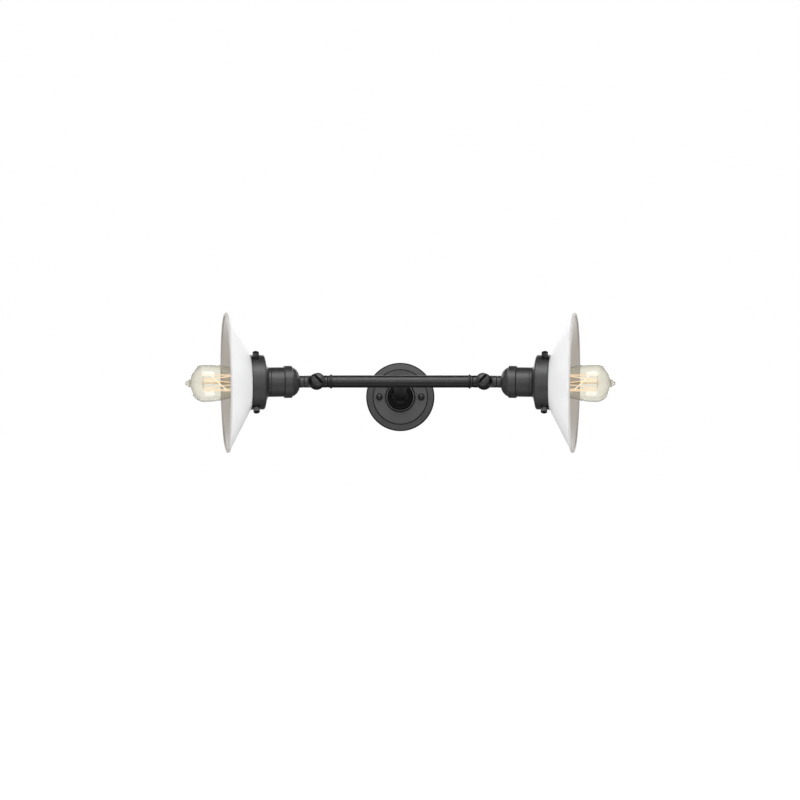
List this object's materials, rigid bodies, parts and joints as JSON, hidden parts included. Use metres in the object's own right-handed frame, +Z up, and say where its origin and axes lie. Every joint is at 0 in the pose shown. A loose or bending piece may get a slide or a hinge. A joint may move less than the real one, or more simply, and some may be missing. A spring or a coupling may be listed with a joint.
{
  "type": "vanity light",
  "caption": "Wall vanity light: a round canopy and stem carry a cross bar, and a swivel head at each end holds an open opal glass cone shade and a filament lamp.",
  "frame": {"origin": "centre of the wall plate's back, on the wall", "axes": "+X along the cross bar to the right as seen from the room, +Y into the wall, +Z up"},
  "size_m": [0.689, 0.2785, 0.2245],
  "materials": {
    "charcoal_metal": "matte charcoal powder coat",
    "black_hub": "gloss black enamel",
    "black_screws": "blackened satin steel",
    "zinc_steel": "zinc-plated steel",
    "brass": "plain brass",
    "porcelain": "glazed white porcelain, opaque",
    "opal_glass": "opal white glass",
    "lamp_glass": "clear glass, faintly amber",
    "black_insulator": "black vitreous insulator",
    "filament_wire": "tungsten and carbon wire, lit"
  },
  "bodies": {
    "wall_frame": {"wall_plate": "charcoal_metal", "mounting_strap": "zinc_steel", "plate_screws": "black_screws", "earth_screw": "brass", "hub_collar": "charcoal_metal", "hub_dome": "black_hub", "hub_nipple": "zinc_steel", "hub_locknut": "zinc_steel", "stem": "black_hub", "cross_bar": "charcoal_metal", "right_bar_coupling": "charcoal_metal", "left_bar_coupling": "charcoal_metal", "right_swivel_fork": "charcoal_metal", "left_swivel_fork": "charcoal_metal", "right_swivel_screw": "black_screws", "left_swivel_screw": "black_screws", "right_swivel_nut": "black_screws", "left_swivel_nut": "black_screws", "right_swivel_washers": "zinc_steel", "left_swivel_washers": "zinc_steel"},
    "right_head": {"right_swivel_tongue": "charcoal_metal", "right_neck_collar": "charcoal_metal", "right_socket_cap": "charcoal_metal", "right_cap_locknut": "zinc_steel", "right_socket_shell": "charcoal_metal", "right_socket_core": "porcelain", "right_screw_shell": "brass", "right_centre_contact": "brass", "right_shade_holder": "charcoal_metal", "right_holder_ring": "charcoal_metal", "right_thumbscrews": "black_screws", "right_shade": "opal_glass", "right_bulb_glass": "lamp_glass", "right_bulb_base": "brass", "right_bulb_insulator": "black_insulator", "right_bulb_contact": "zinc_steel", "right_filament": "filament_wire", "right_filament_mount": "lamp_glass"},
    "left_head": {"left_swivel_tongue": "charcoal_metal", "left_neck_collar": "charcoal_metal", "left_socket_cap": "charcoal_metal", "left_cap_locknut": "zinc_steel", "left_socket_shell": "charcoal_metal", "left_socket_core": "porcelain", "left_screw_shell": "brass", "left_centre_contact": "brass", "left_shade_holder": "charcoal_metal", "left_holder_ring": "charcoal_metal", "left_thumbscrews": "black_screws", "left_shade": "opal_glass", "left_bulb_glass": "lamp_glass", "left_bulb_base": "brass", "left_bulb_insulator": "black_insulator", "left_bulb_contact": "zinc_steel", "left_filament": "filament_wire", "left_filament_mount": "lamp_glass"}
  },
  "joints": [
    {"name": "right_swivel", "type": "hinge", "parent": "wall_frame", "child": "right_head", "pos_m": [0.1345, -0.14561, 0.02481], "axis": [-0.1461, -0.9711, 0.1888], "range_deg": [-87.5, 92.5]},
    {"name": "left_swivel", "type": "hinge", "parent": "wall_frame", "child": "left_head", "pos_m": [-0.1345, -0.14561, 0.02481], "axis": [-0.1461, 0.9711, -0.1888], "range_deg": [-87.5, 92.5]}
  ]
}
